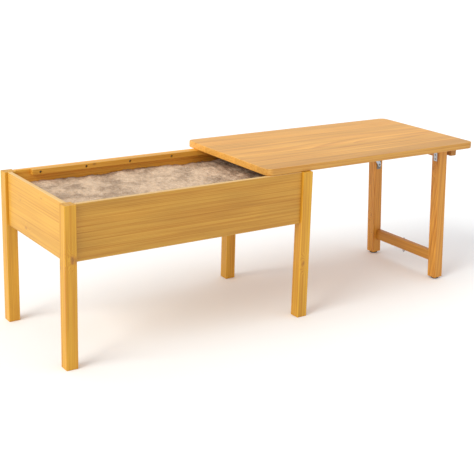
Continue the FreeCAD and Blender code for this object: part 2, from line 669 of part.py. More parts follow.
def leaf(label, plate, notches, screw_axis, screw_start, centres):
    """A hinge leaf: a plate and its knuckles around the hinge axis."""
    barrel = plain_rod("y", "knuckle_radius", "hinge_width", ("0", "0", "0"))
    cuts = [plain_box((NOTCH, width, NOTCH), (NOTCH_LOW, low, NOTCH_LOW))
            for low, width in notches]
    cuts.append(plain_rod("y", "hinge_pin_radius + pin_clearance", "hinge_width",
                          ("0", "0", "0")))
    for centre in centres:
        cuts.append(plain_rod(screw_axis, "small_screw_radius + screw_fit",
                              "leaf_thickness", centre(screw_start)))
    piece = carved(joined(None, [plate, barrel]), cuts, label)
    nodes.append(piece)
    return piece


def hinges():
    """Two butt hinges: one leaf under the lid, one on the near face of each leg."""
    lid_heads, leg_heads = [], []
    middle = "hinge_width / 2"
    for side, y in HINGE_SIDES.items():
        plate = plain_box(("lid_leaf_length", "hinge_width", "leaf_thickness"),
                          ("0 - lid_leaf_length", "0", "knuckle_radius - leaf_thickness"))
        holes = [lambda start, inset=inset: (f"{inset} - lid_leaf_length", middle, start)
                 for inset in LEAF_SCREWS]
        inner = [(f"{THIRD} - knuckle_gap / 2", f"{THIRD} + knuckle_gap")]
        lid_leaf = leaf(f"hinge_lid_leaf_{side}", plate, inner, "z",
                        "knuckle_radius - leaf_thickness", holes)
        place(lid_leaf, HINGE_X, y, HINGE_Z)
        plate = plain_box(("leaf_thickness", "hinge_width", "leg_leaf_length"),
                          ("knuckle_radius - leaf_thickness", "0", "0 - leg_leaf_length"))
        holes = [lambda start, inset=inset: (start, middle, f"{inset} - leg_leaf_length")
                 for inset in LEAF_SCREWS]
        outer_width = f"({THIRD} + knuckle_gap / 2)"
        outer = [("0", outer_width), (f"hinge_width - {outer_width}", outer_width)]
        leg_leaf = leaf(f"hinge_leg_leaf_{side}", plate, outer, "x",
                        "knuckle_radius - leaf_thickness", holes)
        splay(leg_leaf, "0", y, "0")
        pin = plain_rod("y", "hinge_pin_radius", "hinge_width", (HINGE_X, y, HINGE_Z))
        pin.Label = f"hinge_pin_{side}"
        nodes.append(pin)
        for inset in LEAF_SCREWS:
            lid_heads.append((f"{HINGE_X} - lid_leaf_length + {inset}", f"{y} + {middle}",
                              "box_height - leaf_thickness"))
            leg_heads.append(on_frame("knuckle_radius - leaf_thickness", f"{y} + {middle}",
                                      f"{inset} - leg_leaf_length"))
    lid_heads += [(f"{LID_LEFT} + {x}", f"{LID_FRONT} + {y}",
                   "box_height - stay_foot_thickness") for x, y in STAY_FOOT_SCREWS]
    shape = screw_shape(*SMALL_SCREW)
    screws("lid_hardware_screws", shape, lid_heads, (0, 0, 1))
    angle = math.radians(value("leg_splay"))
    screws("leg_leaf_screws", shape, leg_heads, (math.cos(angle), 0, math.sin(angle)))


# ------------------------------------------------------------------- folding leg frame
TOP_RAIL_PEGS = [f"({TOP_RAIL_LOW} + frame_dowel_inset)",
                 f"({TOP_RAIL_LOW} + top_rail_height - frame_dowel_inset)"]
STRETCHER_PEGS = [f"({STRETCHER_LOW} + frame_dowel_inset)",
                  f"({STRETCHER_LOW} + stretcher_height - frame_dowel_inset)"]
STAY_PLATE_LOW = "(0 - stay_leg_drop - stay_plate_below)"
STAY_PLATE_SCREWS = [f"({STAY_PLATE_LOW} + stay_screw_inset)",
                     f"({STAY_PLATE_LOW} + stay_plate_height - stay_screw_inset)"]
FRAME_PEG_HOLE = "(frame_dowel_length / 2 + blind_hole_gap)"


def table_leg(label, rear):
    """A leg of the folding frame, drilled for its rails, hinge leaf, stay and glide."""
    side = "table_leg_side"
    leg = bar(label, "z", (side, side, f"({LEG_TOP} - {LEG_LOW})"))
    inner, towards = ("0", 1) if rear else (side, -1)
    pegs = [(f"{TOP_RAIL_IN} + top_rail_thickness / 2 - {LEG_IN}", f"{up} - {LEG_LOW}")
            for up in TOP_RAIL_PEGS]
    pegs += [("stretcher_recess + stretcher_thickness / 2", f"{up} - {LEG_LOW}")
             for up in STRETCHER_PEGS]
    bore(leg, "y", inner, FRAME_PEG_HOLE, towards, DOWEL_HOLE, pegs)
    bore(leg, "x", "0", "small_screw_length", 1, SMALL_HOLE,
         [(f"{side} / 2", f"{inset} - leg_leaf_length - {LEG_LOW}") for inset in LEAF_SCREWS])
    bore(leg, "z", "0", "glide_nail_length + blind_hole_gap", 1,
         "(glide_nail_diameter + 2 * screw_fit)", [(f"{side} / 2", f"{side} / 2")])
    if rear:
        bore(leg, "y", "0", "small_screw_length", 1, SMALL_HOLE,
             [(f"{STAY_LEG_IN} - {LEG_IN}", f"{up} - {LEG_LOW}")
              for up in STAY_PLATE_SCREWS])
        bore(leg, "y", "0", "rivet_head_height + blind_hole_gap", 1,
             "(2 * rivet_head_radius + 2 * counterbore_fit)",
             [("stay_leg_in", f"0 - stay_leg_drop - {LEG_LOW}")])
    y = REAR_LEG_FACE if rear else FRAME_FRONT
    splay(leg, LEG_IN, y, LEG_LOW)


def cross_member(label, thickness, height, along, low, pegs):
    """A rail between the two table legs."""
    member = bar(label, "y", (thickness, BETWEEN_LEGS, height))
    centres = [(f"{thickness} / 2", f"{up} - {low}") for up in pegs]
    bore(member, "y", "0", FRAME_PEG_HOLE, 1, DOWEL_HOLE, centres)
    bore(member, "y", BETWEEN_LEGS, FRAME_PEG_HOLE, -1, DOWEL_HOLE, centres)
    splay(member, along, f"{FRAME_FRONT} + table_leg_side", low)
    return member


def frame_dowels():
    """Dowels between the two cross members and the table legs."""
    rows = [(f"{TOP_RAIL_IN} + top_rail_thickness / 2", TOP_RAIL_PEGS),
            (f"{STRETCHER_IN} + stretcher_thickness / 2", STRETCHER_PEGS)]
    starts = (f"{FRAME_FRONT} + table_leg_side - frame_dowel_length / 2",
              f"{REAR_LEG_FACE} - frame_dowel_length / 2")
    group("frame_dowels", [
        plain_rod("y", "dowel_diameter / 2", "frame_dowel_length", on_frame(along, start, up))
        for along, heights in rows for up in heights for start in starts])


def glide(label, y):
    """A round foot glide with its nail."""
    foot = new_body(label)
    drawing = draw_on(foot, "XY_Plane")
    circle(drawing, "0", "0", "glide_diameter")
    pad(foot, drawing, "z", "glide_height")
    ease(foot, "glide_round", lambda edge: edge.BoundBox.ZMax < TINY)
    drawing = draw_on(foot, "XY_Plane", "glide_height")
    circle(drawing, "0", "0", "glide_nail_diameter")
    pad(foot, drawing, "z", "glide_nail_length")
    splay(foot, f"{LEG_IN} + table_leg_side / 2", y, f"0 - {FOOT_DROP}")


def leg_frame():
    """The folding frame: two legs, two cross members and two glides."""
    table_leg("table_leg_front", False)
    table_leg("table_leg_back", True)
    cross_member("top_rail", "top_rail_thickness", "top_rail_height", TOP_RAIL_IN,
                 TOP_RAIL_LOW, TOP_RAIL_PEGS)
    stretcher = cross_member("stretcher", "stretcher_thickness", "stretcher_height",
                             STRETCHER_IN, STRETCHER_LOW, STRETCHER_PEGS)
    bore(stretcher, "x", "stretcher_thickness", "small_screw_length", -1, SMALL_HOLE,
         [(f"{BETWEEN_LEGS} / 2 + button_shift", "stretcher_height / 2 - button_drop")])
    frame_dowels()
    for side, face in (("front", FRAME_FRONT), ("back", REAR_LEG_FACE)):
        glide(f"glide_{side}", f"{face} + table_leg_side / 2")


def turn_button():
    """A pointed steel strip that turns on one screw on the far face of the stretcher."""
    half_wide, half_long = "button_width / 2", "button_length / 2"
    shoulder = f"{half_long} - {half_wide}"
    strip = new_body("turn_button")
    drawing = draw_on(strip, "YZ_Plane")
    outline(drawing, [("0", f"0 - {half_long}"), (half_wide, f"0 - ({shoulder})"),
                      (half_wide, shoulder), ("0", half_long),
                      (f"0 - {half_wide}", shoulder),
                      (f"0 - {half_wide}", f"0 - ({shoulder})")])
    pad(strip, drawing, "x", "button_thickness")
    bore(strip, "x", "0", "button_thickness", 1, SMALL_HOLE, [("0", "0")])
    middle = (f"{FRAME_FRONT} + frame_width / 2 + button_shift",
              f"{STRETCHER_LOW} + stretcher_height / 2 - button_drop")
    near = f"{STRETCHER_IN} + stretcher_thickness + button_clearance"
    splay(strip, near, *middle)
    angle = math.radians(value("leg_splay"))
    screws("turn_button_screw", screw_shape(*SMALL_SCREW),
           [on_frame(f"{near} + button_thickness + button_clearance", *middle)],
           (-math.cos(angle), 0, -math.sin(angle)))


# ------------------------------------------------------------------------------ stay
def stay_turn():
    """Rotation that lays a link's own X axis along the open stay, leg pin to lid pin."""
    rise = value(f"{STAY_LID_Z} - {STAY_LEG_OPEN_Z}")
    run = value(f"0 - stay_lid_back - {STAY_LEG_OPEN_X}")
    return Rotation(Vector(0, 1, 0), -math.degrees(math.atan2(rise, run)))


def rivet(label, y, lengths, point):
    """A rivet along Y: a head, a shank and a second head or shoulder."""
    first, shank, second = lengths
    pieces = [plain_rod("y", "rivet_radius", f"{first} + {shank} + {second}",
                        ("0", "0", "0"))]
    if first != "0":
        pieces.append(plain_rod("y", "rivet_head_radius", first, ("0", "0", "0")))
    if second != "0":
        pieces.append(plain_rod("y", "rivet_head_radius", second,
                                ("0", f"{first} + {shank}", "0")))
    piece = joined(label, pieces)
    nodes.append(piece)
    return place(piece, point[0], y, point[1])


def link(label, length, y, holes):
    """A flat steel link with round ends, from its first pin along its own X."""
    half = "(stay_link_width / 2)"
    thick = "stay_link_thickness"
    pieces = [plain_box((length, thick, "stay_link_width"), ("0", "0", f"0 - {half}"))]
    pieces += [plain_rod("y", half, thick, (x, "0", "0")) for x in ("0", length)]
    bores = [plain_rod("y", "rivet_radius + pin_clearance", thick, (x, "0", "0"))
             for x in holes]
    piece = carved(joined(None, pieces), bores, label)
    nodes.append(piece)
    return piece


def stay():
    """The folding stay between the back table leg and the lid, straight when open."""
    leg_pin = (f"{HINGE_X} + {STAY_LEG_OPEN_X}", f"{HINGE_Z} + {STAY_LEG_OPEN_Z}")
    lid_pin = (f"{HINGE_X} - stay_lid_back", f"{HINGE_Z} + {STAY_LID_Z}")
    open_turn = stay_turn()
    back_turn = open_turn.multiply(Rotation(Vector(0, 1, 0), 180))
    share = f"({LOWER_LINK} / ({LOWER_LINK} + {UPPER_LINK}))"
    elbow = tuple(f"{a} + ({b} - ({a})) * {share}" for a, b in zip(leg_pin, lid_pin))

    lower = link("stay_lower_link", LOWER_LINK, LOWER_LINK_Y, ["0"])
    place(lower, leg_pin[0], LOWER_LINK_Y, leg_pin[1])
    lower.Placement = Placement(lower.Placement.Base, open_turn)
    upper = link("stay_upper_link", UPPER_LINK, UPPER_LINK_Y, ["0", UPPER_LINK])
    place(upper, lid_pin[0], UPPER_LINK_Y, lid_pin[1])
    upper.Placement = Placement(upper.Placement.Base, back_turn)

    plate = new_body("stay_leg_plate")
    drawing = draw_on(plate, "XZ_Plane")
    rectangle(drawing, "stay_plate_width", "stay_plate_height")
    pad(plate, drawing, "y", "stay_plate_thickness")
    ease(plate, "stay_plate_round", lambda edge: edge.BoundBox.YLength > TINY)
    screw_x = "stay_plate_width / 2"
    seats = [(screw_x, f"{up} - {STAY_PLATE_LOW}") for up in STAY_PLATE_SCREWS]
    bore(plate, "y", "0", "small_head_height", 1,
         "(2 * small_head_radius + 2 * screw_fit)", seats)
    bore(plate, "y", "0", "stay_plate_thickness", 1, SMALL_HOLE, seats)
    bore(plate, "y", "0", "stay_plate_thickness", 1, "(2 * rivet_radius + 2 * screw_fit)",
         [("stay_plate_width / 2", "stay_plate_below")])
    plate_face = f"{REAR_LEG_FACE} - stay_plate_thickness"
    splay(plate, f"{STAY_LEG_IN} - stay_plate_width / 2", plate_face, STAY_PLATE_LOW)
    screws("stay_plate_screws", screw_shape(*SMALL_SCREW),
           [on_frame(STAY_LEG_IN, f"{plate_face} + small_head_height", up)
            for up in STAY_PLATE_SCREWS], (0, 1, 0))

    foot_height = "(stay_lid_drop + stay_link_width / 2)"
    foot = new_body("stay_lid_foot")
    drawing = draw_on(foot, "YZ_Plane")
    ear, deep = "stay_foot_thickness", "stay_foot_depth"
    outline(drawing, [("0", "0"), (ear, "0"), (ear, foot_height),
                      (f"0 - {deep}", foot_height), (f"0 - {deep}", f"{foot_height} - {ear}"),
                      ("0", f"{foot_height} - {ear}")])
    pad(foot, drawing, "x", "stay_foot_width")
    bore(foot, "y", "0", ear, 1, "(2 * rivet_radius + 2 * screw_fit)",
         [("stay_foot_width / 2", "stay_link_width / 2")])
    bore(foot, "z", foot_height, ear, -1, SMALL_HOLE,
         [(x, f"0 - {deep} / 2") for x in ("stay_screw_inset",
                                           "stay_foot_width - stay_screw_inset")])
    place(foot, f"{HINGE_X} - stay_lid_back - stay_foot_width / 2", STAY_FOOT_Y,
          f"box_height - {foot_height}")

    head, thick, gap = "rivet_head_height", "stay_link_thickness", "stay_gap"
    rivet("stay_leg_rivet", f"{LOWER_LINK_Y} - {head}",
          (head, f"({thick} + {gap} + stay_plate_thickness)", head), leg_pin)
    rivet("stay_lid_rivet", f"{STAY_FOOT_Y} - {head}",
          (head, f"(stay_foot_thickness + {gap} + {thick})", head), lid_pin)
    rivet("stay_elbow_rivet", f"{UPPER_LINK_Y} - {head}", (head, thick, head), elbow)


# ------------------------------------------------------------------------------ build
def check_and_write():
    """Stop on any failed feature, then write one STEP file for each node."""
    doc.recompute()
    for item in doc.Objects:
        if "Invalid" in item.State or "Error" in item.State:
            raise RuntimeError(f"{item.Label} ({item.Name}) failed: {item.State}")
    for node in nodes:
        if node.Shape.isNull() or not node.Shape.isValid():
            raise RuntimeError(f"{node.Label} has no valid shape")
    os.makedirs("parts", exist_ok=True)
    for node in nodes:
        node.Shape.exportStep(f"parts/{node.Label}.step")
        print(f"{node.Label}: {len(node.Shape.Solids)} solid(s),"
              f" {node.Shape.Volume / 1000:.1f} cm3")


sand_box()
lid_panel()
lid_battens()
hinges()
leg_frame()
turn_button()
stay()
check_and_write()
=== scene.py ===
"""Looks of a children's sand table: a pine box on legs, and a lid drawn out onto a folding frame.

The wood, steel and nylon parts are the CAD nodes with procedural materials. The sand and the cloth
under it are modelled here. Everything is in metres, in the frame of the CAD model.
"""

import math
import random

import bmesh
import bpy
from mathutils import Matrix, Vector, noise


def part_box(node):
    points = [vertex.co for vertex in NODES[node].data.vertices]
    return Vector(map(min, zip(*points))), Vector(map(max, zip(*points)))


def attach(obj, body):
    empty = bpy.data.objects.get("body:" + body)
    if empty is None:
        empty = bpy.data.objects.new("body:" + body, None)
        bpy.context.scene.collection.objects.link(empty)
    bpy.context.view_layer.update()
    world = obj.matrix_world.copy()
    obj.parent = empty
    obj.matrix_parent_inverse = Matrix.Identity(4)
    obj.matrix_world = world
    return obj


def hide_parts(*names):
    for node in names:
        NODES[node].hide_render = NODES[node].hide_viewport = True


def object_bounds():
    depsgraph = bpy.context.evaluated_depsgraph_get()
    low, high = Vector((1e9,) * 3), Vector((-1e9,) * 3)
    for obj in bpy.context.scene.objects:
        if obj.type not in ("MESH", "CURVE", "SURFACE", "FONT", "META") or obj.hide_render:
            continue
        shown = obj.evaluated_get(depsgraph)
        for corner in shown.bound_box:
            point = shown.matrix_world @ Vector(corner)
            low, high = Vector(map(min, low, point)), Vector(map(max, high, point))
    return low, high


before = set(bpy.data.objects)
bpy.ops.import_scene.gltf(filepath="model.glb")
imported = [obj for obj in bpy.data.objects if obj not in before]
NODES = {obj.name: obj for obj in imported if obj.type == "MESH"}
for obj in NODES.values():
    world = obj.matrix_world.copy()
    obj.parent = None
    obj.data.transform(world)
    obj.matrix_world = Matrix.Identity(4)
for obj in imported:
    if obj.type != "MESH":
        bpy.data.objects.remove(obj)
cad_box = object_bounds()

MM = 0.001

# ---------------------------------------------------------------- colours, as sRGB
HONEY = (216, 162, 62)          # varnished pine, early wood
HONEY_DARK = (186, 120, 28)     # varnished pine, late wood
LEG_HONEY = (216, 163, 48)      # the box's legs, stained a little deeper
LEG_HONEY_DARK = (188, 121, 22)
LID_PINE = (222, 166, 78)
LID_PINE_DARK = (190, 124, 40)
RED_PINE = (212, 150, 56)       # the redder stock of the folding frame
RED_PINE_DARK = (174, 104, 24)
TOP_HIGHLIGHT = (240, 204, 140)        # painted highlight on the top faces and rounded top edges, where light falls from above
RAW_PINE = (226, 190, 138)      # unvarnished, inside and below
RAW_PINE_DARK = (196, 150, 96)
BEECH = (214, 172, 122)
BEECH_DARK = (186, 138, 90)
KNOT = (126, 74, 38)
KNOT_RIM = (168, 104, 48)
STEEL = (186, 190, 196)
DULL_STEEL = (138, 136, 130)    # the stay's plate and rivets, darker and rougher
SCREW_STEEL = (132, 130, 124)
NYLON = (34, 28, 24)
SAND_LIGHT = (216, 184, 152)
SAND_DARK = (142, 112, 86)
SAND_GRAIN = (236, 222, 204)
SAND_SPECK = (110, 88, 70)
CLOTH = (58, 60, 60)
CLOTH_LIGHT = (92, 94, 92)
FLOOR = (250, 250, 250)
AIR = (250, 250, 252)


def linear(colour):
    """An sRGB colour of 0 to 255 as linear RGBA."""
    def channel(part):
        share = part / 255
        if share <= 0.04045:
            return share / 12.92
        return ((share + 0.055) / 1.055) ** 2.4
    return tuple(channel(part) for part in colour) + (1.0,)


# ---------------------------------------------------------------- material graphs
class Graph:
    """A material and its node tree, built one step at a time."""

    def __init__(self, name):
        self.material = bpy.data.materials.new(name)
        self.material.use_nodes = True
        self.tree = self.material.node_tree
        self.shader = self.tree.nodes["Principled BSDF"]

    def add(self, kind, inputs, **settings):
        node = self.tree.nodes.new("ShaderNode" + kind)
        for key, setting in settings.items():
            setattr(node, key, setting)
        for key, source in inputs.items():
            self.feed(node.inputs[key], source)
        return node

    def feed(self, socket, source):
        if isinstance(source, bpy.types.NodeSocket):
            self.tree.links.new(source, socket)
        else:
            socket.default_value = source

    def place(self):
        """Where a point is in the part's own frame, in metres."""
        return self.add("TexCoord", {}).outputs["Object"]

    def maths(self, operation, *values, clamp=False):
        inputs = dict(enumerate(values))
        return self.add("Math", inputs, operation=operation, use_clamp=clamp).outputs[0]

    def vector(self, operation, *values):
        result = 1 if operation in ("LENGTH", "DISTANCE", "DOT_PRODUCT") else 0
        inputs = dict(enumerate(values))
        return self.add("VectorMath", inputs, operation=operation).outputs[result]

    def split(self, vector):
        return self.add("SeparateXYZ", {0: vector}).outputs

    def join(self, x, y, z):
        return self.add("CombineXYZ", {0: x, 1: y, 2: z}).outputs[0]

    def noise(self, where, scale=1.0, detail=2.0, roughness=0.5, result="Fac"):
        inputs = {"Vector": where, "Scale": scale, "Detail": detail, "Roughness": roughness}
        return self.add("TexNoise", inputs).outputs[result]

    def ramp(self, value, low, high, start=0.0, end=1.0):
        """value from low..high to start..end, eased at both ends."""
        inputs = {"Value": value, "From Min": low, "From Max": high, "To Min": start,
                  "To Max": end}
        return self.add("MapRange", inputs, interpolation_type="SMOOTHSTEP").outputs[0]

    def mix(self, share, first, second, blend="MIX"):
        node = self.add("Mix", {}, data_type="RGBA", blend_type=blend)
        self.feed(node.inputs["Factor"], share)
        self.feed(node.inputs[6], first)
        self.feed(node.inputs[7], second)
        return node.outputs[2]

    def swing(self, value, width, middle=0.0):
        """A value of 0 to 1 as a swing of that width about the middle."""
        return self.maths("MULTIPLY_ADD", value, width, middle - width / 2)

    def tint(self, colour, gain):
        """The colour made lighter or darker by a gain near 1."""
        if isinstance(colour, tuple):
            colour = colour[:3]
        return self.vector("MULTIPLY", colour, self.join(gain, gain, gain))

    def bump(self, height, strength, depth):
        inputs = {"Height": height, "Strength": strength, "Distance": depth}
        self.feed(self.shader.inputs["Normal"], self.add("Bump", inputs).outputs[0])

    def finish(self, colour, roughness, metallic=0.0, specular=0.5):
        self.feed(self.shader.inputs["Base Color"], colour)
        self.feed(self.shader.inputs["Roughness"], roughness)
        self.shader.inputs["Metallic"].default_value = metallic
        self.shader.inputs["Specular IOR Level"].default_value = specular
        return self.material


# ---------------------------------------------------------------- wood
RING = 4.2 * MM             # one year's growth
YEAR_DRIFT = 3.4            # how far good and bad years shift the rings, in rings
WARP = 16 * MM              # how far the rings wander along a board
PITH_REACH = (70 * MM, 190 * MM)
SLIP = 10.0                 # metres along the grain, so that no two boards show the same piece
STAVE_SLIP = 7.0
# how fast each pattern changes, per metre: twice across the fibres, then along them
WANDER_RATE = (5.0, 5.0, 1.1)
FINE_RATE = (620.0, 620.0, 11.0)
STRAND_RATE = (150.0, 150.0, 2.6)
BLOTCH_RATE = (16.0, 16.0, 3.2)
YEAR_RATE = 65.0
LATE_SHARE = 0.78           # how far late wood and streaks go towards the darker colour
STREAK_SHARE = 0.5
FINE_TONE = 0.2             # swing of the tone from fibres and from blotches
BLOTCH_TONE = 0.36
TOP_HIGHLIGHT_DEPTH = (1.2 * MM, 0.3 * MM)    # the painted highlight starts and is full this far below a top face
TOP_HIGHLIGHT_SHARE = 0.6
KNOT_BEND = 3.0             # rings pushed aside by a knot
GRAIN_ORDER = {"X": (1, 2, 0), "Y": (0, 2, 1), "Z": (0, 1, 2)}   # two ways across, then along


KNOT_STRETCH = 2.0          # a knot's length along the grain over its width
KNOT_RAGGED = 1.8           # how uneven its outline is


def knot_distance(graph, where, grain, point, way, radius):
    """How many radii a point of the wood is from a knot whose branch runs along the axis way."""
    gap = graph.vector("SUBTRACT", where, tuple(point))
    spans = {way: math.inf, grain: KNOT_STRETCH * radius}
    shares = tuple(1 / spans.get(axis, radius) for axis in "XYZ")
    uneven = graph.noise(where, 0.5 / radius, 3.0, 0.65)
    length = graph.vector("LENGTH", graph.vector("MULTIPLY", gap, shares))
    return graph.maths("MULTIPLY_ADD", graph.maths("SUBTRACT", uneven, 0.5), KNOT_RAGGED, length)


def wood(name, grain, seed, early, late, staves=None, gain=1.0, knots=(), gloss=0.42,
         figure=1.0, spread=0.17, highlight_top=None):
    """Pine or beech sawn from a round trunk, so that its faces and its end grain agree.

    grain is the axis that the fibres follow. staves is (axis, first edge, width) for a panel glued
    from strips, each of which gets a trunk and a tone of its own, within spread. figure is how
    strongly the rings show. The height of a top face, if given, gets a painted highlight there.
    """
    graph = Graph(name)
    draw = random.Random(seed)
    where = graph.place()
    axes = graph.split(where)
    across, through, along = [axes[index] for index in GRAIN_ORDER[grain]]
    turn = draw.uniform(0, math.tau)
    reach = draw.uniform(*PITH_REACH)
    pith = [reach * math.cos(turn), reach * math.sin(turn)]
    slip = draw.uniform(0, SLIP)
    tone = gain
    if staves:
        axis, edge, width = staves
        offset = graph.maths("SUBTRACT", axes["XYZ".index(axis)], edge)
        number = graph.maths("FLOOR", graph.maths("DIVIDE", offset, width))
        chance = graph.add("TexWhiteNoise", {"W": graph.maths("ADD", number, float(seed))},
                           noise_dimensions="1D")
        part = graph.split(chance.outputs["Color"])
        pith = [graph.maths("MULTIPLY_ADD", part[index], 2 * PITH_REACH[0], pith[index])
                for index in (0, 1)]
        slip = graph.maths("MULTIPLY_ADD", part[2], STAVE_SLIP, slip)
        tone = graph.swing(chance.outputs["Value"], spread, gain)
    run = graph.maths("ADD", along, slip)
    fibre_place = graph.join(across, through, run)

    # rings about the pith, bent by slow wandering and by each knot
    slow = graph.vector("MULTIPLY", fibre_place, WANDER_RATE)
    wander = graph.split(graph.noise(slow, 1.0, 1.5, 0.45, "Color"))
    centred = [graph.maths("ADD", across, pith[0]), graph.maths("ADD", through, pith[1])]
    near = [graph.maths("MULTIPLY_ADD", wander[index], WARP, centred[index]) for index in (0, 1)]
    trunk = graph.vector("LENGTH", graph.join(near[0], near[1], 0.0))
    uneven_years = graph.noise(graph.join(trunk, 0.0, 0.0), YEAR_RATE, 1.0, 0.5)
    drift = graph.maths("MULTIPLY", uneven_years, YEAR_DRIFT)
    rings = graph.maths("ADD", graph.maths("DIVIDE", trunk, RING), drift)
    shade = 0.0
    heart = 0.0
    for point, way, radius, depth in knots:
        far = knot_distance(graph, where, grain, point, way, radius)
        rings = graph.maths("ADD", rings, graph.ramp(far, 5.0, 0.3, 0.0, KNOT_BEND))
        shade = graph.maths("MAXIMUM", graph.ramp(far, 1.7, 0.5, 0.0, depth), shade)
        heart = graph.maths("MAXIMUM", graph.ramp(far, 1.0, 0.2), heart)
    year = graph.maths("FRACT", rings)
    late_wood = graph.maths("MULTIPLY", graph.maths("POWER", year, 2.2), graph.ramp(year, 1.0, 0.9))

    # fine fibres and slow blotches
    fine = graph.noise(graph.vector("MULTIPLY", fibre_place, FINE_RATE), 1.0, 3.0, 0.6)
    strand = graph.noise(graph.vector("MULTIPLY", fibre_place, STRAND_RATE), 1.0, 2.0, 0.5)
    blotch = graph.noise(graph.vector("MULTIPLY", fibre_place, BLOTCH_RATE), 1.0, 2.5, 0.55)
    streaks = graph.maths("MULTIPLY", graph.ramp(strand, 0.35, 0.7), STREAK_SHARE * figure)
    share = graph.maths("MULTIPLY_ADD", late_wood, LATE_SHARE * figure, streaks, clamp=True)
    colour = graph.mix(share, linear(early), linear(late))
    lift = graph.maths("ADD", graph.swing(fine, FINE_TONE), graph.swing(blotch, BLOTCH_TONE))
    colour = graph.tint(colour, graph.maths("ADD", lift, tone))
    if knots:
        colour = graph.mix(shade, colour, graph.mix(heart, linear(KNOT_RIM), linear(KNOT)))
    # painted highlight: the top face and the top of each side are lightened towards a pale colour,
    # for light falling from above
    if highlight_top is not None:
        top_highlight_share = graph.ramp(axes[2], highlight_top - TOP_HIGHLIGHT_DEPTH[0], highlight_top - TOP_HIGHLIGHT_DEPTH[1], 0.0, TOP_HIGHLIGHT_SHARE)
        colour = graph.mix(top_highlight_share, colour, linear(TOP_HIGHLIGHT))
    smooth = graph.maths("MULTIPLY_ADD", late_wood, -0.06, gloss - 0.05)
    roughness = graph.maths("MULTIPLY_ADD", fine, 0.16, smooth)
    ridges = graph.maths("MULTIPLY", late_wood, 0.6)
    relief = graph.maths("MULTIPLY_ADD", fine, 0.5, ridges)
    graph.bump(relief, 0.35, 0.25 * MM)
    return graph.finish(colour, roughness, specular=0.42)


def dress(name, material):
    """Give a CAD node its material."""
    slots = NODES[name].data.materials
    slots.clear()
    slots.append(material)


def on_node(name, shares):
    """A point in a node's box: shares of its three sides, from the lowest corner."""
    low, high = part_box(name)
    return Vector(low[i] + (high[i] - low[i]) * shares[i] for i in range(3))


def knot(name, shares, way, radius, depth=0.6):
    """A knot of a node: where in its box, the axis of its branch, its radius and how dark it is."""
    return on_node(name, shares), way, radius, depth


# how much lighter or darker each piece is made; for the panels this holds painted light and shade
BACK_LEG_GAIN = 1.03
# painted light and shade: the front panel is darkened for the shade on the box's front, and the
# back panel is lightened against its shade inside the box
PANEL_PAINTED_LIGHT_GAIN = {"front": 0.82, "back": 1.35, "left": 1.03, "right": 1.0}
RAIL_GAIN = 1.12
BATTEN_GAIN = 0.72
TABLE_LEG_GAIN = {"front": 1.02, "back": 1.1}
LEFT_FIGURE = 0.7           # the left panel's rings are faint
LID_SPREAD = 0.3            # tone between the lid's strips


def dress_box():
    """The sand box: four legs, four panels, ledgers, floor boards and the back rail."""
    knots = {
        "box_leg_front_left": [knot("box_leg_front_left", (0.62, 0, 0.678), "Y", 6 * MM, 0.66),
                               knot("box_leg_front_left", (0.9, 0, 0.672), "Y", 5 * MM, 0.5),
                               knot("box_leg_front_left", (0, 0.86, 0.618), "X", 3.5 * MM, 0.4)],
        "box_leg_front_right": [knot("box_leg_front_right", (0.4, 0, 0.378), "Y", 4.5 * MM, 0.5)],
        "panel_left": [knot("panel_left", (0, 0.36, 0.87), "X", 3.5 * MM, 0.3),
                       knot("panel_left", (0, 0.76, 0.62), "X", 3 * MM, 0.3),
                       knot("panel_left", (0, 0.66, 0.16), "X", 4.5 * MM, 0.35)],
        "rail_back": [knot("rail_back", (0.31, 0, 0.75), "Y", 3.5 * MM, 0.55)],
    }
    legs = ("front_left", "front_right", "back_left", "back_right")
    for seed, corner in enumerate(legs):
        name = "box_leg_" + corner
        dress(name, wood("pine_" + name, "Z", 11 + seed, LEG_HONEY, LEG_HONEY_DARK,
                         gain=BACK_LEG_GAIN if "back" in corner else 1.0,
                         knots=knots.get(name, ())))
    for seed, side in enumerate(("front", "back", "left", "right")):
        name = "panel_" + side
        grain = "X" if side in ("front", "back") else "Y"
        low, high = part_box(name)
        staves = ("Z", low.z, (high.z - low.z) / 2)
        dress(name, wood("pine_" + name, grain, 31 + seed, HONEY, HONEY_DARK, staves,
                         PANEL_PAINTED_LIGHT_GAIN[side], knots.get(name, ()),
                         figure=LEFT_FIGURE if side == "left" else 1.0,
                         highlight_top=None if side == "back" else high.z))
        ledger = "ledger_" + side
        dress(ledger, wood("pine_" + ledger, grain, 51 + seed, RAW_PINE, RAW_PINE_DARK, gloss=0.62))
    dress("rail_back", wood("pine_rail_back", "X", 41, HONEY, HONEY_DARK, gain=RAIL_GAIN,
                            knots=knots["rail_back"]))
    boards = sorted(name for name in NODES if name.startswith("floor_board_"))
    for seed, name in enumerate(boards):
        dress(name, wood("pine_" + name, "Y", 61 + seed, RAW_PINE, RAW_PINE_DARK,
                         gain=0.95 + 0.04 * (seed % 3), gloss=0.62))


STAVE_COUNT = 8             # strips glued side by side in the lid


def dress_lid():
    """The lid panel of glued strips, and its two battens."""
    low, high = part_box("lid_panel")
    staves = ("Y", low.y, (high.y - low.y) / STAVE_COUNT)
    dress("lid_panel", wood("pine_lid_panel", "X", 71, LID_PINE, LID_PINE_DARK, staves,
                            spread=LID_SPREAD))
    for seed, side in enumerate(("right", "left")):
        name = "lid_batten_" + side
        dress(name, wood("pine_" + name, "Y", 75 + seed, RED_PINE, RED_PINE_DARK, gain=BATTEN_GAIN))


